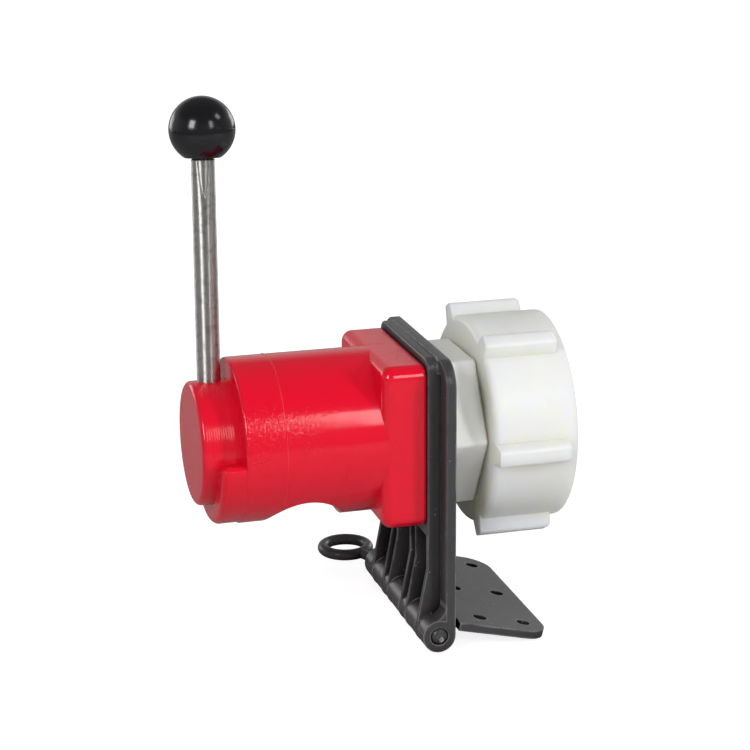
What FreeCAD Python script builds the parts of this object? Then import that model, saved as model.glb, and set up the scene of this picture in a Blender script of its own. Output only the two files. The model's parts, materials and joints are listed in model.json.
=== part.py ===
import FreeCAD, Part
import math
import os

# Canister tap: a quarter-turn plug tap on a folding bracket, with a union nut for the canister.
# Millimetres. +X runs along the tap's axis into the canister, +Z is up, and the origin is the
# centre of the union nut's open end. The lever side of the tap is at -X.

V = FreeCAD.Vector
AXIS_X = V(1, 0, 0)
AXIS_Y = V(0, 1, 0)
AXIS_Z = V(0, 0, 1)
ORIGIN = V(0, 0, 0)

# Clearances
running_gap = 0.10
seat_gap = 0.10
side_gap = 0.40
swing_gap = 0.60
seal_gap = 0.08
stop_gap = 0.30

# How far a cutting or joining shape runs past the piece, and how near two places or two
# directions count as the same
overrun = 1.0
same_place = 0.001
same_way_deg = 2.5

# Union nut
nut_length = 32.7
nut_ring_d = 81.0
nut_edge_r = 2.5
nut_rib_count = 6
nut_rib_height = 5.5
nut_rib_length = 29.0
nut_rib_width = 6.2
nut_rib_draft_deg = 11.0
nut_rib_angle_deg = 33.5
nut_rib_edge_r = 1.4
nut_rib_end_r = 2.4
nut_web = 5.0
thread_root_d = 60.8
collar_gap = 0.5

# Inlet: tail spigot with its collar and gasket, and the hexagon adapter that carries it
flow_d = 35.0
spigot_wall = 3.4
spigot_socket_depth = 12.0
spigot_seal_inset = 3.0
collar_d = 57.0
collar_thickness = 4.0
gasket_thickness = 3.0
gasket_bore_d = 40.0
hex_flats = 57.0
hex_to_nut = 0.5
hex_corner_r = 2.0
hex_chamfer = 0.8
neck_length = 16.0
pilot_gap = 0.20
pilot_reach = 10.0
pilot_seal_inset = 3.0

# Bracket
back_thickness = 3.9
back_width = 83.0
back_corner_r = 10.0
frame_depth = 4.4
frame_margin = 0.45
frame_corner_r = 5.0
bracket_top = 34.4
bracket_edge_r = 0.8
bracket_root_r = 1.6
panel_top = 35.1
panel_kink = 48.7
wall_thickness = 2.0
rib_thickness = 1.4

# Hinge
hinge_drop = 72.5
knuckle_d = 12.86
knuckle_step_outer = 30.2
knuckle_step_middle = 16.8
knuckle_step_inner = 8.2
knuckle_root_r = 0.8
pin_d = 6.8
pin_recess = 1.2
pin_tip_r = 1.2
core_d = 2.4
core_depth = 60.0
pin_head_d = 9.4
pin_head_length = 1.6
pull_ring_d = 23.4
pull_ring_wire_d = 4.6
pull_ring_neck_d = 4.1
pull_ring_out = 20.1
pull_ring_side = 9.3

# Base plate
base_reach = 45.0
base_gap = 0.77
base_thickness = 3.2
base_corner_r = 10.0
base_rest_deg = 13.5
base_hole_d = 5.5
base_hole_near = 18.3
base_hole_pitch_x = 18.2
base_hole_pitch_y = 32.0

# Body
barrel_d = 63.5
block_length = 17.0
block_edge_r = 5.0
block_front_r = 4.0
block_back_r = 1.5
barrel_length = 52.2
barrel_edge_r = 1.0
rim_inset = 0.45
rim_length = 9.2
rim_edge_r = 2.4
outlet_setback = 44.2
outlet_cut_r = 16.7
outlet_cut_height = 12.35

# Plug
plug_neck_d = 47.4
plug_body_d = 51.0
plug_neck_length = 7.7
plug_proud = 5.6
plug_face_edge_r = 2.0
plug_bore_d = 36.0
plug_face_web = 26.5
window_d = 25.0
ring_section = 2.0
thrust_thickness = 1.5
seat_thickness = 2.0
front_groove_inset = 2.6
rear_groove_inset = 4.0

# Lever
rod_d = 9.0
rod_setback = 7.65
rod_depth = 14.0
rod_chamfer = 0.8
lever_lean_deg = 1.46
lever_rest_deg = 7.2
lever_turn_deg = 90.0
ball_d = 25.0
ball_height = 118.0
ball_flat_d = 13.6
stud_d = 6.0
stud_length = 12.0
knob_insert_d = 10.0
knob_insert_length = 13.0

# Stations along the axis, each worked out from the one before
nut_front = -nut_length
web_back = nut_front + nut_web
collar_start = web_back + seat_gap
gasket_face = collar_start + collar_thickness + gasket_thickness
bracket_back = nut_front - neck_length
frame_back = bracket_back - back_thickness
bracket_front = frame_back - frame_depth
hex_back = nut_front - hex_to_nut
pilot_end = bracket_front - pilot_reach
block_front = bracket_front - block_length
barrel_front = block_front - barrel_length
rim_front = barrel_front - rim_length
plug_face = rim_front - plug_proud
plug_shoulder = barrel_front + plug_neck_length
plug_step = plug_shoulder + thrust_thickness + seat_gap
plug_back = pilot_end - seat_thickness - seat_gap
rod_x = plug_face + rod_setback
outlet_x = bracket_front - outlet_setback
hinge_x = bracket_back - knuckle_d / 2

# Sizes that several parts share
flow_r = flow_d / 2
spigot_r = flow_r + spigot_wall
neck_bore_r = plug_neck_d / 2 + running_gap
chamber_r = plug_body_d / 2 + running_gap
pilot_r = chamber_r - pilot_gap
knuckle_r = knuckle_d / 2
half_back = back_width / 2
base_start = knuckle_r + base_gap
frame_width = barrel_d + 2 * frame_margin


def rod(radius, x_start, x_end):
    """Solid cylinder along the tap's axis."""
    return Part.makeCylinder(radius, x_end - x_start, V(x_start, 0, 0), AXIS_X)


def tube(outer_r, inner_r, x_start, x_end):
    """Hollow cylinder along the tap's axis."""
    return rod(outer_r, x_start, x_end).cut(rod(inner_r, x_start, x_end))


def bar_y(radius, y_start, y_end):
    """Solid cylinder along the hinge axis."""
    return Part.makeCylinder(radius, y_end - y_start, V(hinge_x, y_start, -hinge_drop), AXIS_Y)


def block(x_start, x_end, y_start, y_end, z_start, z_end):
    """Box between two corners."""
    corner = V(x_start, y_start, z_start)
    return Part.makeBox(x_end - x_start, y_end - y_start, z_end - z_start, corner)


def edges_along(shape, axis):
    """Straight edges of a shape that run along one axis."""
    picked = []
    least = math.cos(math.radians(same_way_deg))
    for edge in shape.Edges:
        if isinstance(edge.Curve, Part.Line):
            direction = edge.tangentAt(edge.FirstParameter)
            if abs(direction.dot(axis)) > least:
                picked.append(edge)
    return picked


def plate_x(x_start, x_end, width, z_start, z_end, corner_r):
    """Plate across the tap's axis with rounded corners at its top."""
    plate = block(x_start, x_end, -width / 2, width / 2, z_start, z_end)
    top = [edge for edge in edges_along(plate, AXIS_X) if edge.CenterOfMass.z > z_end - same_place]
    return plate.makeFillet(corner_r, top)


def square_x(x_start, x_end, width, corner_r):
    """Square plate centred on the axis with four rounded corners."""
    plate = block(x_start, x_end, -width / 2, width / 2, -width / 2, width / 2)
    return plate.makeFillet(corner_r, edges_along(plate, AXIS_X))


def edges_at_x(shape, x):
    """Edges that lie wholly in one plane across the axis."""
    return [edge for edge in shape.Edges
            if abs(edge.BoundBox.XMin - x) < same_place
            and abs(edge.BoundBox.XMax - x) < same_place]


def at_lever(shape):
    """Turn a piece from lever upright to where the lever rests."""
    return shape.rotated(ORIGIN, AXIS_X, -lever_rest_deg)


def lever_frame(shape):
    """Place a piece built upward from the axis onto the leaning lever."""
    leaned = shape.rotated(ORIGIN, AXIS_Y, lever_lean_deg)
    return at_lever(leaned.translated(V(rod_x, 0, 0)))


def at_base(shape):
    """Turn a piece from square with the bracket to where the base rests."""
    return shape.rotated(V(hinge_x, 0, -hinge_drop), AXIS_Y, base_rest_deg)


def groove(x_middle, seat_r, shaft_r):
    """Ring of material that a seal's groove takes out of a shaft."""
    half = ring_section / 2 + seat_gap
    floor_r = seat_r - ring_section - 2 * seal_gap
    return tube(shaft_r + ring_section, floor_r, x_middle - half, x_middle + half)


def seal_ring(x_middle, seat_r):
    """Round-section seal that fills the gap to the bore it runs in."""
    section_r = ring_section / 2
    return Part.makeTorus(seat_r - seal_gap - section_r, section_r, V(x_middle, 0, 0), AXIS_X)


# Places of the seals
pilot_seal_x = pilot_end + pilot_seal_inset
spigot_seal_x = hex_back - spigot_socket_depth + spigot_seal_inset
neck_seal_x = barrel_front + plug_neck_length / 2
front_seal_x = plug_shoulder + thrust_thickness + front_groove_inset
rear_seal_x = plug_back - rear_groove_inset


def make_union_nut():
    """Union nut: a ring with grip ribs, a web that draws on the collar, and a bore."""
    ring = rod(nut_ring_d / 2, nut_front, 0)
    nut = ring.makeFillet(nut_edge_r, edges_at_x(ring, nut_front))
    for number in range(nut_rib_count):
        angle = nut_rib_angle_deg + number * 360 / nut_rib_count
        nut = nut.fuse(nut_rib().rotated(ORIGIN, AXIS_X, angle))
    nut = nut.cut(rod(thread_root_d / 2, gasket_face, 0))
    nut = nut.cut(rod(collar_d / 2 + collar_gap, web_back, gasket_face))
    nut = nut.cut(rod(spigot_r + running_gap, nut_front, web_back))
    return nut.removeSplitter()


def nut_rib():
    """One grip rib, straight up: drafted flanks, rounded along its top and at its ends."""
    root_z = nut_ring_d / 2 - nut_edge_r
    top_z = nut_ring_d / 2 + nut_rib_height
    half_top = nut_rib_width / 2
    half_root = half_top + (top_z - root_z) * math.tan(math.radians(nut_rib_draft_deg))
    points = [V(nut_front, -half_root, root_z), V(nut_front, -half_top, top_z),
              V(nut_front, half_top, top_z), V(nut_front, half_root, root_z)]
    face = Part.Face(Part.makePolygon(points + points[:1]))
    rib = face.extrude(V(nut_rib_length, 0, 0))
    back = nut_front + nut_rib_length
    end = [edge for edge in edges_at_x(rib, back) if edge.BoundBox.ZMin > top_z - same_place]
    rib = rib.makeFillet(nut_rib_end_r, end)
    top = [edge for edge in rib.Edges if edge.BoundBox.ZMin > top_z - nut_rib_end_r - same_place
           and edge.BoundBox.ZMax > top_z - same_place and edge.BoundBox.YLength < same_place]
    return rib.makeFillet(nut_rib_edge_r, top)


def make_inlet_spigot():
    """Tail spigot with the collar that the nut draws against the canister's neck."""
    start = hex_back - spigot_socket_depth
    spigot = rod(spigot_r, start, collar_start)
    spigot = spigot.fuse(rod(collar_d / 2, collar_start, collar_start + collar_thickness))
    spigot = spigot.cut(rod(flow_r, start, collar_start + collar_thickness))
    return spigot.cut(groove(spigot_seal_x, spigot_r + seat_gap, spigot_r))


def make_spigot_seal():
    """Seal between the tail spigot and the hexagon adapter."""
    return seal_ring(spigot_seal_x, spigot_r + seat_gap)


def make_canister_gasket():
    """Flat gasket on the collar's face."""
    return tube(collar_d / 2, gasket_bore_d / 2, collar_start + collar_thickness, gasket_face)


def hexagon(across_flats, x_start, x_end):
    """Hexagon prism along the axis, one corner towards -Y."""
    corner_r = across_flats / 2 / math.cos(math.radians(30))
    points = []
    for number in range(6):
        angle = math.radians(60 * number)
        points.append(V(x_start, -corner_r * math.cos(angle), corner_r * math.sin(angle)))
    face = Part.Face(Part.makePolygon(points + points[:1]))
    return face.extrude(V(x_end - x_start, 0, 0))


def make_hex_adapter():
    """Hexagon adapter: clamps the bracket to the body and holds the tail spigot."""
    hexagon_part = hexagon(hex_flats, bracket_back, hex_back)
    hexagon_part = hexagon_part.makeFillet(hex_corner_r, edges_along(hexagon_part, AXIS_X))
    hexagon_part = hexagon_part.makeChamfer(hex_chamfer, edges_at_x(hexagon_part, hex_back))
    adapter = hexagon_part.fuse(rod(pilot_r, pilot_end, bracket_back + overrun))
    socket = hex_back - spigot_socket_depth
    adapter = adapter.cut(rod(spigot_r + seat_gap, socket, hex_back))
    adapter = adapter.cut(rod(flow_r, pilot_end, socket))
    adapter = adapter.cut(groove(pilot_seal_x, chamber_r, pilot_r))
    return adapter.removeSplitter()


def make_adapter_seal():
    """Seal between the adapter's pilot and the body's chamber."""
    return seal_ring(pilot_seal_x, chamber_r)


def side_profile():
    """Side view of the lower panel's walls and ribs, from the frame down to the knuckle."""
    front_x = hinge_x - knuckle_r
    points = [V(bracket_front, 0, -panel_top), V(bracket_front, 0, -panel_kink),
              V(front_x, 0, -hinge_drop), V(hinge_x, 0, -hinge_drop),
              V(bracket_back, 0, -hinge_drop), V(bracket_back, 0, -panel_top)]
    return Part.Face(Part.makePolygon(points + points[:1]))


def panel_plate(y_start, y_end):
    """One upright wall or rib of the lower panel."""
    face = side_profile().translated(V(0, y_start, 0))
    return face.extrude(V(0, y_end - y_start, 0))


def edges_above(shape, x, z):
    """Edges in one plane across the axis, apart from those down at a given height."""
    return [edge for edge in edges_at_x(shape, x) if edge.CenterOfMass.z > z + same_place]


def frame_root():
    """Hollow-curved root that runs round the frame where it meets the wider back plate."""
    tall = plate_x(bracket_front, frame_back, frame_width, -hinge_drop, bracket_top,
                   frame_corner_r)
    slab = block(frame_back, bracket_back, -half_back, half_back, -hinge_drop,
                 bracket_top + back_corner_r)
    joined = tall.fuse(slab)
    outline = [edge for edge in edges_above(joined, frame_back, -hinge_drop)
               if edge.BoundBox.ZMax < bracket_top + same_place]
    root = joined.makeFillet(bracket_root_r, outline).cut(joined)
    return root.common(block(bracket_front, bracket_back, -half_back, half_back, -hinge_drop,
                             bracket_top))


def pin_bore():
    """Bore for the hinge pin, right through both sets of knuckles."""
    return bar_y(pin_d / 2 + running_gap, -half_back - overrun, half_back + overrun)


def bracket_knuckles():
    """Pairs of knuckle spans that belong to the bracket, each as (start, end) along Y."""
    spans = [(knuckle_step_outer, half_back), (knuckle_step_inner, knuckle_step_middle)]
    return spans + [(-end, -start) for start, end in spans]


def base_knuckles():
    """Knuckle spans that belong to the base plate."""
    middle = (knuckle_step_middle + side_gap, knuckle_step_outer - side_gap)
    inner = knuckle_step_inner - side_gap
    return [middle, (-inner, inner), (-middle[1], -middle[0])]


def make_hinge_bracket():
    """Black bracket: a wide back plate, a narrower frame in front and a ribbed lower panel."""
    back = plate_x(frame_back, bracket_back, back_width, -hinge_drop, bracket_top, back_corner_r)
    back = back.makeFillet(bracket_edge_r, edges_above(back, frame_back, -hinge_drop))
    frame = plate_x(bracket_front, frame_back, frame_width, -panel_top, bracket_top,
                    frame_corner_r)
    frame = frame.makeFillet(bracket_edge_r, edges_above(frame, bracket_front, -panel_top))
    bracket = back.fuse(frame).fuse(frame_root())
    half_frame = frame_width / 2
    uprights = [(half_frame - wall_thickness, half_frame),
                (knuckle_step_middle - rib_thickness, knuckle_step_middle),
                (knuckle_step_inner, knuckle_step_inner + rib_thickness)]
    for start, end in uprights:
        bracket = bracket.fuse(panel_plate(start, end))
        bracket = bracket.fuse(panel_plate(-end, -start))
    for start, end in base_knuckles():
        top = -hinge_drop + knuckle_r + swing_gap
        clearance = block(hinge_x - knuckle_r - overrun, bracket_back + overrun,
                          start - side_gap, end + side_gap,
                          -hinge_drop - knuckle_r - overrun, top)
        bracket = bracket.cut(clearance)
    for start, end in bracket_knuckles():
        bracket = bracket.fuse(bar_y(knuckle_r, start, end))
    bracket = bracket.cut(pin_bore())
    bracket = bracket.cut(rod(pilot_r + seat_gap, bracket_front, bracket_back))
    return bracket.removeSplitter()


def base_hole_centres():
    """Centres of the base plate's screw holes, as distances from the hinge and along it."""
    rows = (-base_hole_pitch_y, 0, base_hole_pitch_y)
    columns = (base_hole_near, base_hole_near + base_hole_pitch_x)
    return [(across, along) for across in columns for along in rows]


def base_knuckle(start, end, bottom, top):
    """One knuckle of the base, with the tab that joins it to the plate and a rounded root."""
    tab = block(hinge_x, hinge_x + base_start, start, end, bottom, top)
    knuckle = bar_y(knuckle_r, start, end).fuse(tab).removeSplitter()
    root = [edge for edge in edges_along(knuckle, AXIS_Y)
            if abs(edge.CenterOfMass.z - bottom) < same_place
            and edge.CenterOfMass.x < hinge_x + base_start - same_place]
    return knuckle.makeFillet(knuckle_root_r, root)


def make_base_plate():
    """Base plate: its top face runs off the top of the knuckles, with six screw holes."""
    top = -hinge_drop + knuckle_r
    bottom = top - base_thickness
    plate = block(hinge_x + base_start, hinge_x + base_reach, -half_back, half_back, bottom, top)
    corners = [edge for edge in edges_along(plate, AXIS_Z)
               if edge.CenterOfMass.x > hinge_x + base_reach - same_place]
    plate = plate.makeFillet(base_corner_r, corners)
    for start, end in base_knuckles():
        plate = plate.fuse(base_knuckle(start, end, bottom, top))
    plate = plate.cut(pin_bore())
    for across, along in base_hole_centres():
        hole = Part.makeCylinder(base_hole_d / 2, base_thickness + 2 * overrun,
                                 V(hinge_x + across, along, bottom - overrun), AXIS_Z)
        plate = plate.cut(hole)
    return at_base(plate.removeSplitter())


def make_hinge_pin():
    """Hinge pin with a head and a pull ring that stands off to one side."""
    near = -half_back + pin_recess
    far = half_back + seat_gap
    pin = bar_y(pin_d / 2, near, far + pin_head_length)
    tip = [edge for edge in pin.Edges if edge.BoundBox.YMax < near + same_place]
    pin = pin.makeFillet(pin_tip_r, tip)
    pin = pin.fuse(bar_y(pin_head_d / 2, far, far + pin_head_length))
    wire_r = pull_ring_wire_d / 2
    ring_r = pull_ring_d / 2 - wire_r
    centre = V(hinge_x - pull_ring_side, half_back + pull_ring_out, -hinge_drop)
    ring = Part.makeTorus(ring_r, wire_r, centre, AXIS_Z)
    root = V(hinge_x, far + pin_head_length / 2, -hinge_drop)
    reach = centre - root
    neck = Part.makeCylinder(pull_ring_neck_d / 2, reach.Length - ring_r, root, reach)
    pin = pin.fuse(ring).fuse(neck)
    return pin.cut(bar_y(core_d / 2 + seat_gap / 2, near, near + core_depth))


def make_pin_core():
    """Steel core of the pin, which shows at its tip."""
    near = -half_back + pin_recess
    return bar_y(core_d / 2, near, near + core_depth)


def make_valve_body():
    """Red body: square block, barrel, half rim that stops the lever, chamber and outlet."""
    barrel_r = barrel_d / 2
    head = square_x(block_front, bracket_front, barrel_d, block_edge_r)
    head = head.makeFillet(block_front_r, edges_at_x(head, block_front))
    head = head.makeFillet(block_back_r, edges_at_x(head, bracket_front))
    barrel = rod(barrel_r, barrel_front, bracket_front - block_length / 2)
    barrel = barrel.makeFillet(barrel_edge_r, edges_at_x(barrel, barrel_front))
    body = head.fuse(barrel).fuse(half_rim())
    chamber = rod(chamber_r, plug_shoulder, bracket_front)
    neck = rod(neck_bore_r, rim_front, plug_shoulder)
    body = body.cut(chamber).cut(neck)
    outlet_z = -barrel_r + outlet_cut_height - outlet_cut_r
    outlet = Part.makeCylinder(outlet_cut_r, barrel_d + 2 * overrun,
                               V(outlet_x, -barrel_r - overrun, outlet_z), AXIS_Y)
    body = body.cut(outlet)
    return body.removeSplitter()


def half_rim():
    """Lower half of the barrel carried forward; its two ends lie along the open lever."""
    inside = barrel_front + barrel_edge_r
    rim = tube(barrel_d / 2 - rim_inset, neck_bore_r, rim_front, inside)
    floor = -rod_d / 2 - stop_gap
    above = block(rim_front - overrun, inside + overrun, -barrel_d, 0, floor, barrel_d)
    above = above.rotated(ORIGIN, AXIS_X, lever_turn_deg - 90 - lever_rest_deg)
    rim = rim.cut(above).cut(above.mirror(ORIGIN, AXIS_Y))
    outer = [edge for edge in edges_at_x(rim, rim_front) if isinstance(edge.Curve, Part.Line)
             or edge.Curve.Radius > neck_bore_r + same_place]
    ends = [edge for edge in edges_along(rim, AXIS_X)
            if abs(edge.CenterOfMass.y) > neck_bore_r + same_place]
    return rim.makeFillet(rim_edge_r, outer + ends)


def make_valve_plug():
    """Hollow plug: open at the back, with a side window and a solid face that holds the rod."""
    neck = rod(plug_neck_d / 2, plug_face, plug_step)
    neck = neck.makeFillet(plug_face_edge_r, edges_at_x(neck, plug_face))
    plug = neck.fuse(rod(plug_body_d / 2, plug_step, plug_back))
    plug = plug.cut(rod(plug_bore_d / 2, plug_face + plug_face_web, plug_back))
    window = Part.makeCylinder(window_d / 2, plug_body_d, V(outlet_x, 0, 0), AXIS_Z)
    plug = plug.cut(window.rotated(ORIGIN, AXIS_X, 180 - lever_turn_deg + lever_rest_deg))
    plug = plug.cut(groove(neck_seal_x, neck_bore_r, plug_neck_d / 2))
    plug = plug.cut(groove(front_seal_x, chamber_r, plug_body_d / 2))
    plug = plug.cut(groove(rear_seal_x, chamber_r, plug_body_d / 2))
    plug = at_lever(plug)
    socket_floor = plug_neck_d / 2 - rod_depth
    socket = Part.makeCylinder(rod_d / 2 + seat_gap, plug_neck_d, V(0, 0, socket_floor), AXIS_Z)
    return plug.cut(lever_frame(socket))


def make_thrust_ring():
    """Slip ring between the plug's shoulder and the body."""
    return tube(chamber_r - seal_gap, plug_neck_d / 2 + seal_gap, plug_shoulder,
                plug_shoulder + thrust_thickness)


def make_seat_ring():
    """Seat between the pilot and the back of the plug."""
    return tube(chamber_r - seal_gap, plug_bore_d / 2, pilot_end - seat_thickness, pilot_end)


def make_neck_seal():
    """Seal round the plug's neck."""
    return seal_ring(neck_seal_x, neck_bore_r)


def make_front_seal():
    """Seal in front of the plug's window."""
    return seal_ring(front_seal_x, chamber_r)


def make_rear_seal():
    """Seal behind the plug's window."""
    return seal_ring(rear_seal_x, chamber_r)


def ball_flat_z():
    """Height of the knob's flat underside above the tap's axis."""
    return ball_height - math.sqrt((ball_d / 2) ** 2 - (ball_flat_d / 2) ** 2)


def make_lever_rod():
    """Lever rod with a thinner stud at its top for the knob."""
    floor = plug_neck_d / 2 - rod_depth
    shaft = Part.makeCylinder(rod_d / 2, ball_flat_z() - floor, V(0, 0, floor), AXIS_Z)
    ends = [edge for edge in shaft.Edges if edge.BoundBox.ZLength < same_place]
    shaft = shaft.makeChamfer(rod_chamfer, ends)
    stud = Part.makeCylinder(stud_d / 2, stud_length, V(0, 0, ball_flat_z()), AXIS_Z)
    return lever_frame(shaft.fuse(stud))


def make_knob_insert():
    """Threaded bush moulded into the knob."""
    floor = ball_flat_z()
    bush = Part.makeCylinder(knob_insert_d / 2, knob_insert_length, V(0, 0, floor), AXIS_Z)
    hole = Part.makeCylinder(stud_d / 2 + running_gap, stud_length, V(0, 0, floor), AXIS_Z)
    return lever_frame(bush.cut(hole))


def make_ball_knob():
    """Ball knob with a flat where it meets the rod."""
    ball = Part.makeSphere(ball_d / 2, V(0, 0, ball_height))
    corner = V(-ball_d, -ball_d, ball_flat_z() - ball_d)
    below = Part.makeBox(2 * ball_d, 2 * ball_d, ball_d, corner)
    hole = Part.makeCylinder(knob_insert_d / 2 + seat_gap / 2, knob_insert_length,
                             V(0, 0, ball_flat_z()), AXIS_Z)
    return lever_frame(ball.cut(below).cut(hole))


PARTS = {
    "union_nut": make_union_nut,
    "canister_gasket": make_canister_gasket,
    "inlet_spigot": make_inlet_spigot,
    "spigot_seal": make_spigot_seal,
    "hex_adapter": make_hex_adapter,
    "adapter_seal": make_adapter_seal,
    "hinge_bracket": make_hinge_bracket,
    "base_plate": make_base_plate,
    "hinge_pin": make_hinge_pin,
    "pin_core": make_pin_core,
    "valve_body": make_valve_body,
    "valve_plug": make_valve_plug,
    "thrust_ring": make_thrust_ring,
    "seat_ring": make_seat_ring,
    "neck_seal": make_neck_seal,
    "front_seal": make_front_seal,
    "rear_seal": make_rear_seal,
    "lever_rod": make_lever_rod,
    "knob_insert": make_knob_insert,
    "ball_knob": make_ball_knob,
}


def main():
    """Build every part and write one STEP file for each."""
    os.makedirs("parts", exist_ok=True)
    for name, make in PARTS.items():
        shape = make()
        shape.exportStep("parts/" + name + ".step")
        print(name, len(shape.Solids), "solid(s)", round(shape.Volume), "mm3")


main()
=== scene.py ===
"""Canister tap: materials, fine detail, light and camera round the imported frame. Metres."""
import json
import math

import bpy
from mathutils import Matrix, Vector


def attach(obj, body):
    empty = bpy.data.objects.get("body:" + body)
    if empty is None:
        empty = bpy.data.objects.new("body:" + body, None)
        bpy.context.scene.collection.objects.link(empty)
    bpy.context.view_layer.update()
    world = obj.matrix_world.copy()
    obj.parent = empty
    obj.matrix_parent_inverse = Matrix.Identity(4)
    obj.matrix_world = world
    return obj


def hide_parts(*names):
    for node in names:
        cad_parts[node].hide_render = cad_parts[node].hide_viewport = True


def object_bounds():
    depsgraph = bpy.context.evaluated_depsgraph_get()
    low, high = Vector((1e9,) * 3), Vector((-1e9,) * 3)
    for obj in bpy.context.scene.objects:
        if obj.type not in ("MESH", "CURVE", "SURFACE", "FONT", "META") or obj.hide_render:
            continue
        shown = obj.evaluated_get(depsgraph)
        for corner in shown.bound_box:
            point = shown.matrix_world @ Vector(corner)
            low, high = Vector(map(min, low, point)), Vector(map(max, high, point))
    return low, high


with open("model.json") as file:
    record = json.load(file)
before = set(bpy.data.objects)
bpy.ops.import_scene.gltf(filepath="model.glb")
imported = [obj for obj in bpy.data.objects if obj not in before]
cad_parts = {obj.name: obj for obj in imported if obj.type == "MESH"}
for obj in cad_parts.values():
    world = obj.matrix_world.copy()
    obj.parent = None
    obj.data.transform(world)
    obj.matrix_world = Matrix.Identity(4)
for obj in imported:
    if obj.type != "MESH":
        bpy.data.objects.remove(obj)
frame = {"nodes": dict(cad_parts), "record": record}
CAD_LO, CAD_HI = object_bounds()
NODES = frame["nodes"]
MM = 0.001
scene = bpy.context.scene


# Node trees

class Nodes:
    """Small helpers around one node tree."""

    def __init__(self, tree):
        self.tree = tree

    def node(self, kind, **values):
        made = self.tree.nodes.new(kind)
        for key, value in values.items():
            setattr(made, key, value)
        return made

    def link(self, source, target):
        self.tree.links.new(source, target)

    def ramp(self, value, low, high, start=0.0, end=1.0, **values):
        """Maps start..end of a value to low..high; high may be another node's output."""
        made = self.node("ShaderNodeMapRange", **values)
        made.inputs["From Min"].default_value = start
        made.inputs["From Max"].default_value = end
        made.inputs["To Min"].default_value = low
        if isinstance(high, (int, float)):
            made.inputs["To Max"].default_value = high
        else:
            self.link(high, made.inputs["To Max"])
        self.link(value, made.inputs["Value"])
        return made.outputs["Result"]

    def combine(self, operation, first, second):
        made = self.node("ShaderNodeMath", operation=operation)
        self.link(first, made.inputs[0])
        self.link(second, made.inputs[1])
        return made.outputs[0]

    def product(self, first, second):
        return self.combine("MULTIPLY", first, second)


class Look(Nodes):
    """A material under construction."""

    def __init__(self, name):
        self.material = bpy.data.materials.new(name)
        self.material.use_nodes = True
        super().__init__(self.material.node_tree)
        self.shader = self.tree.nodes["Principled BSDF"]

    def set(self, **values):
        for key, value in values.items():
            self.shader.inputs[key.replace("_", " ")].default_value = value

    def place(self, stretch=(1, 1, 1)):
        """Object coordinates in metres, stretched."""
        coords = self.node("ShaderNodeTexCoord")
        mapping = self.node("ShaderNodeMapping")
        mapping.inputs["Scale"].default_value = stretch
        self.link(coords.outputs["Object"], mapping.inputs["Vector"])
        return mapping.outputs["Vector"]

    def noise(self, scale, detail=3.0, stretch=(1, 1, 1)):
        made = self.node("ShaderNodeTexNoise")
        made.inputs["Scale"].default_value = scale
        made.inputs["Detail"].default_value = detail
        made.inputs["Roughness"].default_value = 0.5
        self.link(self.place(stretch), made.inputs["Vector"])
        return made.outputs["Fac"]

    def patches(self, scale, detail, start, end):
        """Soft-edged patches: 1 where a noise is above end and 0 where it is below start."""
        return self.ramp(self.noise(scale, detail), 0, 1, start, end)

    def specks(self, scale, size):
        """1 inside sparse round specks and 0 elsewhere."""
        made = self.node("ShaderNodeTexVoronoi", feature="F1")
        made.inputs["Scale"].default_value = scale
        self.link(self.place(), made.inputs["Vector"])
        return self.ramp(made.outputs["Distance"], 1.0, 0.0, size * 0.6, size)

    def bands(self, spacing, kind, distortion):
        """Fine turned lines: BANDS run across the tap's axis, RINGS run round it."""
        made = self.node("ShaderNodeTexWave", wave_type=kind)
        if kind == "BANDS":
            made.bands_direction = "X"
        else:
            made.rings_direction = "X"
        made.inputs["Scale"].default_value = math.pi / 10 / spacing
        made.inputs["Distortion"].default_value = distortion
        made.inputs["Detail"].default_value = 2.0
        self.link(self.place(), made.inputs["Vector"])
        return made.outputs["Fac"]

    def mix(self, factor, first, second):
        """Colour between two, of which each is a colour or another node's output."""
        made = self.node("ShaderNodeMix", data_type="RGBA")
        for value, socket in ((first, made.inputs[6]), (second, made.inputs[7])):
            if isinstance(value, tuple):
                socket.default_value = (*value, 1)
            else:
                self.link(value, socket)
        self.link(factor, made.inputs[0])
        return made.outputs[2]

    def occlusion(self, distance, inside=False):
        """1 in the open and lower in hollows; from the inside, lower near raised edges."""
        made = self.node("ShaderNodeAmbientOcclusion", samples=8, inside=inside,
                         only_local=inside)
        made.inputs["Distance"].default_value = distance
        return made.outputs["AO"]

    def painted_edge_highlights(self, start, end, patch_scale, patch_start, patch_end):
        """Mask for a painted highlight: 1 along raised edges, broken up into patches, and 0
        elsewhere.
        """
        edge = self.ramp(self.occlusion(EDGE_REACH, True), 1, 0, start, end)
        return self.product(edge, self.patches(patch_scale, 2, patch_start, patch_end))

    def scuffs(self):
        """Short shallow marks: a thin band of a stretched noise, broken up by a second one."""
        line = self.noise(95, 2, (0.7, 1.6, 1.6))
        above = self.ramp(line, 0, 1, 0.502, 0.505)
        below = self.ramp(line, 1, 0, 0.507, 0.510)
        return self.product(self.product(above, below), self.patches(40, 1, 0.56, 0.62))

    def colour(self, source):
        self.link(source, self.shader.inputs["Base Color"])

    def rough(self, source):
        self.link(source, self.shader.inputs["Roughness"])

    def bump(self, *layers):
        """Bumps from (height, strength, distance in metres) layers, one on another."""
        normal = None
        for height, strength, distance in layers:
            made = self.node("ShaderNodeBump")
            made.inputs["Strength"].default_value = strength
            made.inputs["Distance"].default_value = distance
            self.link(height, made.inputs["Height"])
            if normal is not None:
                self.link(normal, made.inputs["Normal"])
            normal = made.outputs["Normal"]
        self.link(normal, self.shader.inputs["Normal"])


# Materials. The two reaches say how far, in metres, an edge is felt for its painted highlight,
# and a hollow for its painted shade.

EDGE_REACH = 0.0007
HOLLOW_REACH = 0.016
PLASTIC_IOR = 1.5
# Paler red of the painted edge highlight on the red parts.
PAINTED_EDGE_RED = (0.86, 0.030, 0.048)


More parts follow.
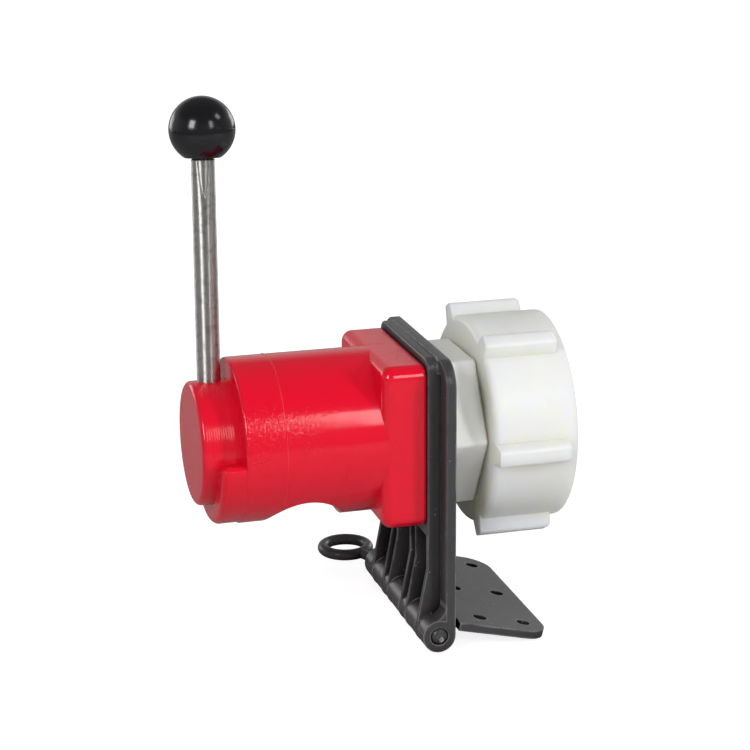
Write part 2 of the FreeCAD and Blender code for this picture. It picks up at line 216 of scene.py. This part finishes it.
def red_plastic(name):
    """Glossy moulded crimson: slight ripple, peel, a few pits and scuffs, and a painted
    highlight that pales its edges.
    """
    look = Look(name)
    ground = look.mix(look.noise(60, 3), (0.74, 0.0035, 0.023), (0.80, 0.0050, 0.028))
    # Painted highlight: raised edges are paled towards a lighter red.
    edge = look.painted_edge_highlights(0.45, 0.90, 120, 0.25, 0.65)
    look.colour(look.mix(edge, ground, PAINTED_EDGE_RED))
    look.rough(look.ramp(look.noise(180, 3), 0.10, 0.17))
    look.set(IOR=PLASTIC_IOR)
    pits = look.product(look.patches(650, 3, 0.50, 0.62), look.patches(35, 2, 0.50, 0.60))
    look.bump((look.noise(28, 2), 0.35, 0.0006), (look.noise(420, 2), 0.10, 0.00012),
              (pits, 0.30, 0.00012), (look.scuffs(), 0.6, 0.00015))
    return look.material


def turned_red(name):
    """The plug's crimson: fine turning lines round its side and on its face, and a painted
    highlight that pales its edges.
    """
    look = Look(name)
    ground = look.mix(look.noise(70, 3), (0.72, 0.0035, 0.023), (0.79, 0.0050, 0.028))
    # Painted highlight: raised edges are paled towards a lighter red.
    edge = look.painted_edge_highlights(0.45, 0.90, 120, 0.25, 0.65)
    look.colour(look.mix(edge, ground, PAINTED_EDGE_RED))
    look.rough(look.ramp(look.noise(260, 3), 0.14, 0.21))
    look.set(IOR=PLASTIC_IOR)
    look.bump((look.bands(0.0009, "BANDS", 1.2), 0.22, 0.00010),
              (look.noise(700, 2, (1, 0.1, 0.1)), 0.10, 0.00008),
              (look.bands(0.0013, "RINGS", 0.8), 0.05, 0.00006))
    return look.material


def white_plastic(name, dull=(0.80, 0.805, 0.78), bright=(0.84, 0.845, 0.82),
                  painted_shade_tint=(0.74, 0.73, 0.60), depth=0.85):
    """Milky natural plastic: mottled between two tints, with an olive painted shade darkening
    its hollows.
    """
    look = Look(name)
    clear = look.mix(look.noise(45, 4), dull, bright)
    # Painted shade: hollows are tinted towards an olive shade colour.
    painted_shade_mask = look.ramp(look.occlusion(HOLLOW_REACH), 1, 0, 0.30, 0.90)
    look.colour(look.mix(painted_shade_mask, clear, painted_shade_tint))
    look.rough(look.ramp(look.noise(240, 3), 0.34, 0.46))
    look.set(IOR=PLASTIC_IOR, Subsurface_Weight=depth, Subsurface_Scale=0.018,
             Subsurface_Radius=(1.0, 0.92, 0.55))
    look.bump((look.noise(30, 2), 0.25, 0.0006), (look.noise(520, 3), 0.10, 0.0001))
    return look.material


def black_plastic(name):
    """Moulded satin black: fine grain, a painted highlight along raised edges, painted shade
    darkening its hollows, and a little pale dust.
    """
    look = Look(name)
    plain = look.mix(look.noise(90, 4), (0.040, 0.038, 0.041), (0.058, 0.055, 0.058))
    # Painted shade: hollows are darkened towards near black.
    in_open = look.ramp(look.occlusion(HOLLOW_REACH), 0, 1, 0.42, 0.68)
    ground = look.mix(in_open, (0.002, 0.002, 0.002), plain)
    # Painted highlight: raised edges are paled towards a light grey.
    edge = look.painted_edge_highlights(0.60, 0.97, 150, 0.30, 0.60)
    edge_highlighted = look.mix(edge, ground, (0.21, 0.205, 0.21))
    dust = look.product(look.specks(420, 0.16), look.patches(60, 2, 0.50, 0.62))
    look.colour(look.mix(dust, edge_highlighted, (0.22, 0.21, 0.21)))
    look.rough(look.ramp(in_open, 0.80, look.ramp(look.noise(500, 4), 0.28, 0.40)))
    look.set(IOR=PLASTIC_IOR)
    look.bump((look.noise(60, 2), 0.2, 0.0004), (look.noise(1400, 3), 0.16, 0.0001))
    return look.material


def knob_black(name):
    """Polished black, faintly worn."""
    look = Look(name)
    look.colour(look.mix(look.noise(40, 2), (0.0055, 0.0050, 0.0062), (0.011, 0.010, 0.012)))
    look.rough(look.ramp(look.noise(160, 4), 0.13, 0.21))
    look.set(IOR=PLASTIC_IOR)
    look.bump((look.noise(55, 2), 0.2, 0.0004), (look.noise(600, 2), 0.05, 0.0001))
    return look.material


def steel(name):
    """Drawn steel: streaks along the rod, and gloss that spreads up and down it."""
    look = Look(name)
    streak = look.noise(900, 4, (1, 1, 0.04))
    worn = look.mix(streak, (0.50, 0.49, 0.47), (0.70, 0.69, 0.67))
    look.colour(look.mix(look.patches(420, 4, 0.50, 0.72), worn, (0.42, 0.41, 0.395)))
    look.rough(look.ramp(look.noise(500, 3), 0.38, 0.50))
    look.set(Metallic=1.0, Anisotropic=0.9, Anisotropic_Rotation=0.25)
    around = look.node("ShaderNodeTangent", direction_type="RADIAL", axis="Z")
    look.link(around.outputs["Tangent"], look.shader.inputs["Tangent"])
    look.bump((streak, 0.06, 0.0001), (look.noise(800, 3), 0.06, 0.0001))
    return look.material


def rubber(name):
    """Black seal rubber."""
    look = Look(name)
    look.colour(look.mix(look.noise(120, 3), (0.018, 0.018, 0.018), (0.032, 0.031, 0.031)))
    look.rough(look.ramp(look.noise(500, 2), 0.5, 0.65))
    look.bump((look.noise(1200, 2), 0.1, 0.0001))
    return look.material


def brass(name):
    """Turned brass, darkened where the knob was moulded round it."""
    look = Look(name)
    look.colour(look.mix(look.noise(300, 3), (0.10, 0.075, 0.04), (0.17, 0.125, 0.06)))
    look.rough(look.ramp(look.noise(600, 2), 0.30, 0.42))
    look.set(Metallic=1.0)
    return look.material


LOOKS = {
    "red_plastic": red_plastic("red_moulded"),
    "plug_red_plastic": turned_red("red_turned"),
    "white_plastic": white_plastic("white_milky"),
    "black_plastic": black_plastic("black_satin"),
    "knob_plastic": knob_black("black_polished"),
    "rod_steel": steel("steel_drawn"),
    "insert_brass": brass("brass_dark"),
    "seal_rubber": rubber("rubber_black"),
    "slip_plastic": white_plastic("slip_white", (0.80, 0.80, 0.78), (0.84, 0.84, 0.82)),
}
# A paler copy of the milky white for the hex adapter: its base colour is painted lighter to
# lift the shade it sits in, with less subsurface light and a paler olive painted shade in its
# hollows.
WHITE_PAINTED_PALER = white_plastic("white_milky_painted_paler", (0.94, 0.94, 0.92), (0.96, 0.96, 0.94),
                            (0.94, 0.925, 0.80), 0.25)
SLOT_OF = {row["node"]: row["material_slot"] for row in frame["record"]["subparts"]}
SHARP_DEG = 32


def dress(obj, material):
    """Gives a piece one material."""
    obj.data.materials.clear()
    obj.data.materials.append(material)


def smooth(mesh, sharp_deg=SHARP_DEG):
    """Smooth shading, apart from edges sharper than an angle."""
    mesh.shade_smooth()
    mesh.set_sharp_from_angle(angle=math.radians(sharp_deg))


for node_name, node in NODES.items():
    # The hex adapter gets the copy of the white that is painted lighter.
    dress(node, WHITE_PAINTED_PALER if node_name == "hex_adapter" else LOOKS[SLOT_OF[node_name]])
    smooth(node.data)


# Fine detail. Sizes in millimetres, from the source's named values.

BARREL_R = 31.75
SEAM_X = -110.7
THREAD_R = 30.4
THREAD_PITCH = 6.0
THREAD_START, THREAD_END = -19.0, -1.4
ROD_X = -133.35
ROD_SIDE_DEG = 1.46
LEVER_LEAN_DEG = 7.2
BALL_HEIGHT = 118.0
BALL_R = 12.5
HINGE_X, HINGE_Z = -55.13, -72.5
KNUCKLE_R = 6.43
KNUCKLE_STEPS = (30.2, 16.8, 8.2)
PLATE_FRONT = -52.6
BRACKET_TOP = 34.4
HALF_BACK = 41.5
HALF_FRAME = 32.2
PIN_NEAR = -40.3
PIN_END_R = 3.3
PIN_END_RISE = 2.3
BEAD_POINTS = 9


def new_mesh(name, points, faces):
    """Mesh from points in millimetres."""
    mesh = bpy.data.meshes.new(name)
    mesh.from_pydata([[value * MM for value in point] for point in points], [], faces)
    return mesh


def add_piece(name, points, faces, slot, body):
    """New piece from points in millimetres: mesh, finish and the body that it rides on."""
    mesh = new_mesh(name, points, faces)
    mesh.validate()
    smooth(mesh)
    piece = bpy.data.objects.new(name, mesh)
    scene.collection.objects.link(piece)
    dress(piece, LOOKS[slot])
    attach(piece, body)
    return piece


def strip_faces(rows, columns, closed=False):
    """Quads between rows of a grid whose columns close on themselves, with capped ends."""
    faces = []
    last = rows if closed else rows - 1
    for row in range(last):
        for column in range(columns):
            following = (column + 1) % columns
            below = (row + 1) % rows
            faces.append((row * columns + column, row * columns + following,
                          below * columns + following, below * columns + column))
    if not closed:
        faces.append(tuple(reversed(range(columns))))
        faces.append(tuple(range((rows - 1) * columns, rows * columns)))
    return faces


def bead_section(half_width, height, sink):
    """Outline of a raised bead: a low arch with its foot sunk into the surface below."""
    outline = [(-half_width, -sink)]
    arch_points = BEAD_POINTS - 2
    for number in range(arch_points):
        angle = math.pi * (1 - number / (arch_points - 1))
        outline.append((half_width * math.cos(angle), height * math.sin(angle)))
    outline.append((half_width, -sink))
    return outline


def add_barrel_seam():
    """Fine raised line round the barrel; it stops short of the outlet on both sides."""
    reach_deg, fade_deg, steps = 128, 6, 160
    points = []
    for step in range(steps + 1):
        degrees = -reach_deg + 2 * reach_deg * step / steps
        fade = min(1.0, (reach_deg - abs(degrees)) / fade_deg)
        angle = math.radians(degrees)
        for across, out in bead_section(0.25, 0.19 * fade + 0.001, 0.10):
            radius = BARREL_R + out
            points.append((SEAM_X + across, -radius * math.sin(angle),
                           radius * math.cos(angle)))
    faces = strip_faces(steps + 1, BEAD_POINTS)
    add_piece("barrel_seam", points, faces, "red_plastic", "body")


def add_nut_thread():
    """Right-hand ridge inside the union nut, running out at both ends."""
    per_turn, run_out, foot, width = 96, 5, 0.15, 0.6
    length = THREAD_END - THREAD_START
    turns = length / THREAD_PITCH
    steps = int(turns * per_turn)
    section = [(-2.1, 0.2), (-1.55, -0.3), (-0.95, -1.35), (-0.6, -1.55), (0.6, -1.55),
               (0.95, -1.35), (1.55, -0.3), (2.1, 0.2)]
    points = []
    for step in range(steps + 1):
        share = step / steps
        angle = 2 * math.pi * turns * share
        fade = min(1.0, share * turns * run_out, (1 - share) * turns * run_out)
        for across, out in section:
            radius = THREAD_R + (out if out > 0 else out * fade + foot * (1 - fade))
            points.append((THREAD_START + length * share + across * width,
                           -radius * math.sin(angle), radius * math.cos(angle)))
    faces = strip_faces(steps + 1, len(section))
    add_piece("nut_thread", points, faces, "white_plastic", "nut")


def add_knob_seam():
    """Parting line of the ball knob, a fine raised line nearly level to the viewer. It fades
    at the ball's far side along the tap's axis, where the part's reach ends."""
    tilt_deg, below_centre, steps, fade_rate = 12.9, 0.45, 160, 6
    lean, side = math.radians(LEVER_LEAN_DEG), math.radians(ROD_SIDE_DEG)
    tilt = math.radians(tilt_deg)
    centre = Vector((ROD_X + BALL_HEIGHT * math.sin(side),
                     BALL_HEIGHT * math.cos(side) * math.sin(lean),
                     BALL_HEIGHT * math.cos(side) * math.cos(lean)))
    normal = Vector((math.sin(side), math.sin(tilt), math.cos(tilt))).normalized()
    first = normal.orthogonal().normalized()
    second = normal.cross(first)
    ring_r = math.sqrt(BALL_R ** 2 - below_centre ** 2)
    points = []
    for step in range(steps):
        angle = 2 * math.pi * step / steps
        outward = math.cos(angle) * first + math.sin(angle) * second
        fade = min(1.0, fade_rate * (1 - abs(outward.x)))
        for across, out in bead_section(0.14, 0.07, 0.10):
            rise = out * fade if out > 0 else out
            points.append(centre + normal * (across - below_centre)
                          + outward * (ring_r + rise))
    faces = strip_faces(steps, BEAD_POINTS, True)
    add_piece("knob_seam", points, faces, "knob_plastic", "plug")


def lathe_y(profile, centre, steps):
    """Points and faces of an outline of (y, radius) pairs turned about a line along Y."""
    points = []
    for step in range(steps):
        angle = 2 * math.pi * step / steps
        for y, radius in profile:
            points.append((centre[0] + radius * math.cos(angle), y,
                           centre[1] + radius * math.sin(angle)))
    return points, strip_faces(steps, len(profile), True)


def add_pin_end():
    """Rounded end of the hinge pin with the upset tip of its steel core."""
    dome = [(PIN_NEAR + 0.5, 0.9), (PIN_NEAR + 0.5, PIN_END_R)]
    for number in range(10):
        angle = math.radians(9 * number)
        dome.append((PIN_NEAR - PIN_END_RISE * math.sin(angle),
                     PIN_END_R * math.cos(angle) ** 0.8))
    top = PIN_NEAR - PIN_END_RISE
    dome.append((top + 0.1, 0.7))
    points, faces = lathe_y(dome, (HINGE_X, HINGE_Z), 64)
    add_piece("pin_end", points, faces, "black_plastic", "pin")
    tip = [(PIN_NEAR - 1.6, 1.02), (top - 0.15, 1.08), (top - 0.40, 0.95), (top - 0.50, 0.72),
           (top - 0.36, 0.42), (top - 0.18, 0.12), (PIN_NEAR - 1.5, 0.12)]
    points, faces = lathe_y(tip, (HINGE_X + 0.35, HINGE_Z - 0.75), 40)
    add_piece("pin_tip", points, faces, "rod_steel", "pin")


def knuckle_web_outline(round_r):
    """Side view of the hollow web between the plate's front and the outer knuckle."""
    centre_x = PLATE_FRONT - round_r
    rise = math.sqrt((KNUCKLE_R + round_r) ** 2 - (centre_x - HINGE_X) ** 2)
    centre_z = HINGE_Z + rise
    outline = [(PLATE_FRONT + 0.6, centre_z + 1.5), (PLATE_FRONT - 0.02, centre_z + 1.5)]
    hollow_end = math.atan2(HINGE_Z - centre_z, HINGE_X - centre_x)
    for number in range(13):
        angle = hollow_end * number / 12
        outline.append((centre_x + round_r * math.cos(angle),
                        centre_z + round_r * math.sin(angle)))
    start, end = math.atan2(centre_z - HINGE_Z, centre_x - HINGE_X), math.radians(172)
    reach = KNUCKLE_R + 0.02
    for number in range(1, 10):
        angle = start + (end - start) * number / 9
        outline.append((HINGE_X + reach * math.cos(angle), HINGE_Z + reach * math.sin(angle)))
    outline.append((HINGE_X - KNUCKLE_R + 0.9, HINGE_Z + 1.0))
    outline.append((HINGE_X - 1.5, HINGE_Z + 5.0))
    outline.append((PLATE_FRONT + 0.6, HINGE_Z + 5.2))
    return outline


def soften_edges(piece, width, angle_deg=40, segments=2):
    """Small rounding on every sharp edge."""
    bevel = piece.modifiers.new("edges", "BEVEL")
    bevel.width = width * MM
    bevel.segments = segments
    bevel.limit_method = "ANGLE"
    bevel.angle_limit = math.radians(angle_deg)


def add_knuckle_webs():
    """Hollow-curved webs that run the plate's edge strips down onto the outer knuckles."""
    outline = knuckle_web_outline(5.0)
    inner, outer = HALF_FRAME + 2.0, HALF_BACK - 0.02
    for name, near, far in (("knuckle_web_near", -outer, -inner),
                            ("knuckle_web_far", inner, outer)):
        points = [(x, y, z) for y in (near, far) for x, z in outline]
        faces = strip_faces(2, len(outline))
        web = add_piece(name, points, faces, "black_plastic", "body")
        soften_edges(web, 0.35, 60, 3)


def add_knuckle_lip(name, middle_y, body):
    """Fine raised lip over the upper and front side of the hinge."""
    start_deg, sweep_deg, steps = 82, 168, 40
    points = []
    for step in range(steps + 1):
        angle = math.radians(start_deg + sweep_deg * step / steps)
        for across, out in bead_section(0.22, 0.20, 0.15):
            reach = KNUCKLE_R + out
            points.append((HINGE_X + reach * math.cos(angle), middle_y + across,
                           HINGE_Z + reach * math.sin(angle)))
    add_piece(name, points, strip_faces(steps + 1, BEAD_POINTS), "black_plastic", body)


def add_knuckle_lips():
    """Lips on both sides of each joint between the bracket's and the base's knuckles."""
    for side, side_name in ((-1, "near"), (1, "far")):
        for step_y, outward in zip(KNUCKLE_STEPS, (1, -1, 1)):
            for body, towards in (("body", outward), ("base", -outward)):
                name = "knuckle_lip_%s_%d_%s" % (body, round(step_y), side_name)
                add_knuckle_lip(name, side * (step_y + towards * 0.33), body)


def box_faces(low, high):
    """Points and faces of a box between two corners."""
    xs, ys, zs = zip(low, high)
    points = [(x, y, z) for x in xs for y in ys for z in zs]
    faces = [(0, 1, 3, 2), (4, 6, 7, 5), (0, 4, 5, 1), (2, 3, 7, 6), (0, 2, 6, 4), (1, 5, 7, 3)]
    return points, faces


def add_top_strip():
    """Fills the groove between frame and plate, which are flush along the bracket's top."""
    points, faces = box_faces((PLATE_FRONT - 0.6, -28.6, BRACKET_TOP - 1.2),
                              (PLATE_FRONT + 1.1, 28.6, BRACKET_TOP - 0.015))
    add_piece("bracket_top_strip", points, faces, "black_plastic", "body")


def add_carved_bracket():
    """The bracket with a narrow channel beside the frame on both sides, and soft edges."""
    piece = bpy.data.objects.new("bracket_carved", NODES["hinge_bracket"].data.copy())
    scene.collection.objects.link(piece)
    cutters = []
    for side in (-1, 1):
        near, far = sorted((side * (HALF_FRAME + 0.05), side * (HALF_FRAME + 2.1)))
        points, faces = box_faces((PLATE_FRONT - 3, near, HINGE_Z + 4.5),
                                  (PLATE_FRONT + 1.3, far, 29.0))
        cutter = bpy.data.objects.new("channel", new_mesh("channel", points, faces))
        scene.collection.objects.link(cutter)
        cut = piece.modifiers.new("channel", "BOOLEAN")
        cut.operation = "DIFFERENCE"
        cut.solver = "EXACT"
        cut.object = cutter
        cutters.append(cutter)
    soften_edges(piece, 0.3)
    scene.view_layers[0].update()
    shape = piece.evaluated_get(bpy.context.evaluated_depsgraph_get())
    mesh = bpy.data.meshes.new_from_object(shape)
    piece.modifiers.clear()
    piece.data = mesh
    for cutter in cutters:
        bpy.data.objects.remove(cutter)
    smooth(mesh, 40)
    dress(piece, LOOKS["black_plastic"])
    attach(piece, "body")
    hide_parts("hinge_bracket")


add_barrel_seam()
add_nut_thread()
add_knob_seam()
add_pin_end()
add_knuckle_webs()
add_knuckle_lips()
add_top_strip()
add_carved_bracket()
soften_edges(NODES["base_plate"], 0.3)


# Camera

CAMERA_AT = Vector((-0.2922575, -0.7948586, 0.2633699))
YAW, PITCH, ROLL = 0.2746, 0.2857, -0.0061
FOCAL_PX, FRAME_PX = 2238.378, 750
SENSOR_MM = 36


def add_camera():
    """Camera at the photograph's place."""
    forward = Vector((math.sin(YAW) * math.cos(PITCH), math.cos(YAW) * math.cos(PITCH),
                      -math.sin(PITCH)))
    right = Vector((math.cos(YAW), -math.sin(YAW), 0))
    up = right.cross(forward)
    right_rolled = math.cos(ROLL) * right + math.sin(ROLL) * up
    up_rolled = -math.sin(ROLL) * right + math.cos(ROLL) * up
    data = bpy.data.cameras.new("photo_camera")
    data.sensor_width = SENSOR_MM
    data.lens = FOCAL_PX * SENSOR_MM / FRAME_PX
    data.clip_start, data.clip_end = 0.01, 50
    camera = bpy.data.objects.new("photo_camera", data)
    scene.collection.objects.link(camera)
    turn = Matrix((right_rolled, up_rolled, -forward)).transposed()
    camera.matrix_world = Matrix.Translation(CAMERA_AT) @ turn.to_4x4()
    scene.camera = camera


add_camera()


# Light and stage. Each lamp: direction from the object, distance, size, power.

LAMPS = {
    "left_box": ((-0.68, -0.54, 0.50), 1.1, (0.30, 0.45), 4.9),
    "right_box": ((0.30, -0.81, 0.50), 1.1, (0.20, 0.40), 1.5),
    "side_high": ((0.62, -0.30, 0.72), 1.1, (0.25, 0.25), 0.9),
    "back_left": ((-0.55, 0.82, 0.15), 1.2, (0.50, 0.40), 1.5),
    "back_right": ((0.75, 0.64, 0.20), 1.2, (0.50, 0.40), 1.5),
    "front_fill": ((-0.15, -0.90, 0.42), 1.3, (0.30, 0.30), 2.0),
    "right_fill": ((0.70, -0.70, 0.25), 1.2, (0.14, 0.25), 5.2),
}
UNREFLECTED = ("front_fill", "right_fill")
LAMP_TARGET = Vector((-0.075, 0, 0.0))
AMBIENT = 0.24
ROOM_FRONT, ROOM_BACK = 0.20, 0.55
ROOM_HIGH_SHARE = 0.30
FLOOR_DROP, FLOOR_HALF = 0.0005, 3.0
FLOOR_GLOW_NEAR, FLOOR_GLOW_FAR = 0.84, 1.0
GLOW_FROM, GLOW_TO = 0.25, 0.70


def area_light(name, direction, distance, size, power):
    """Soft rectangular lamp at a distance from the object, aimed at it."""
    data = bpy.data.lights.new(name, "AREA")
    data.shape = "RECTANGLE"
    data.size, data.size_y = size
    data.energy = power
    lamp = bpy.data.objects.new(name, data)
    scene.collection.objects.link(lamp)
    away = Vector(direction).normalized()
    lamp.location = LAMP_TARGET + away * distance
    lamp.rotation_euler = (-away).to_track_quat("-Z", "Y").to_euler()
    lamp.visible_glossy = name not in UNREFLECTED


def white_world():
    """World: white to the camera and a soft grey where it lights. Reflections find a studio:
    pale low down behind the object, dimmer overhead and on the photographer's side."""
    world = bpy.data.worlds.new("studio")
    scene.world = world
    world.use_nodes = True
    world.node_tree.nodes.clear()
    build = Nodes(world.node_tree)
    path = build.node("ShaderNodeLightPath")
    camera_ray = path.outputs["Is Camera Ray"]
    seen = camera_ray
    for name in ("Is Glossy Ray", "Is Transmission Ray"):
        seen = build.combine("MAXIMUM", seen, path.outputs[name])
    coords = build.node("ShaderNodeTexCoord")
    split = build.node("ShaderNodeSeparateXYZ")
    build.link(coords.outputs["Generated"], split.inputs[0])
    depth = build.ramp(split.outputs["Y"], ROOM_FRONT, ROOM_BACK, -0.5, 0.75,
                       interpolation_type="SMOOTHSTEP")
    height = build.ramp(split.outputs["Z"], 1.0, ROOM_HIGH_SHARE, 0.30, 0.62,
                        interpolation_type="SMOOTHSTEP")
    strength = build.combine("MAXIMUM", build.product(depth, height), camera_ray)
    shown = build.node("ShaderNodeBackground")
    shown.inputs["Color"].default_value = (1, 1, 1, 1)
    build.link(strength, shown.inputs["Strength"])
    lit = build.node("ShaderNodeBackground")
    lit.inputs["Color"].default_value = (1, 1, 1, 1)
    lit.inputs["Strength"].default_value = AMBIENT
    mix = build.node("ShaderNodeMixShader")
    out = build.node("ShaderNodeOutputWorld")
    build.link(seen, mix.inputs["Fac"])
    build.link(lit.outputs[0], mix.inputs[1])
    build.link(shown.outputs[0], mix.inputs[2])
    build.link(mix.outputs[0], out.inputs["Surface"])


def add_floor():
    """Pale floor: white to the eye where it is lit, and darker in the object's shadow."""
    z, half = CAD_LO.z - FLOOR_DROP, FLOOR_HALF
    mesh = bpy.data.meshes.new("floor")
    mesh.from_pydata([(-half, -half, z), (half, -half, z), (half, half, z), (-half, half, z)],
                     [], [(0, 1, 2, 3)])
    floor = bpy.data.objects.new("floor", mesh)
    scene.collection.objects.link(floor)
    look = Look("floor_pale")
    look.colour(look.mix(look.noise(4, 2), (0.46, 0.46, 0.46), (0.48, 0.48, 0.48)))
    look.set(Roughness=0.9, Emission_Color=(1, 1, 1, 1))
    away = look.node("ShaderNodeVectorMath", operation="LENGTH")
    look.link(look.place(), away.inputs[0])
    glow = look.ramp(away.outputs["Value"], FLOOR_GLOW_NEAR, FLOOR_GLOW_FAR, GLOW_FROM, GLOW_TO)
    camera_ray = look.node("ShaderNodeLightPath").outputs["Is Camera Ray"]
    look.link(look.product(glow, camera_ray), look.shader.inputs["Emission Strength"])
    dress(floor, look.material)


white_world()
for lamp_name, lamp_values in LAMPS.items():
    area_light(lamp_name, *lamp_values)
add_floor()
scene.view_settings.view_transform = "Standard"
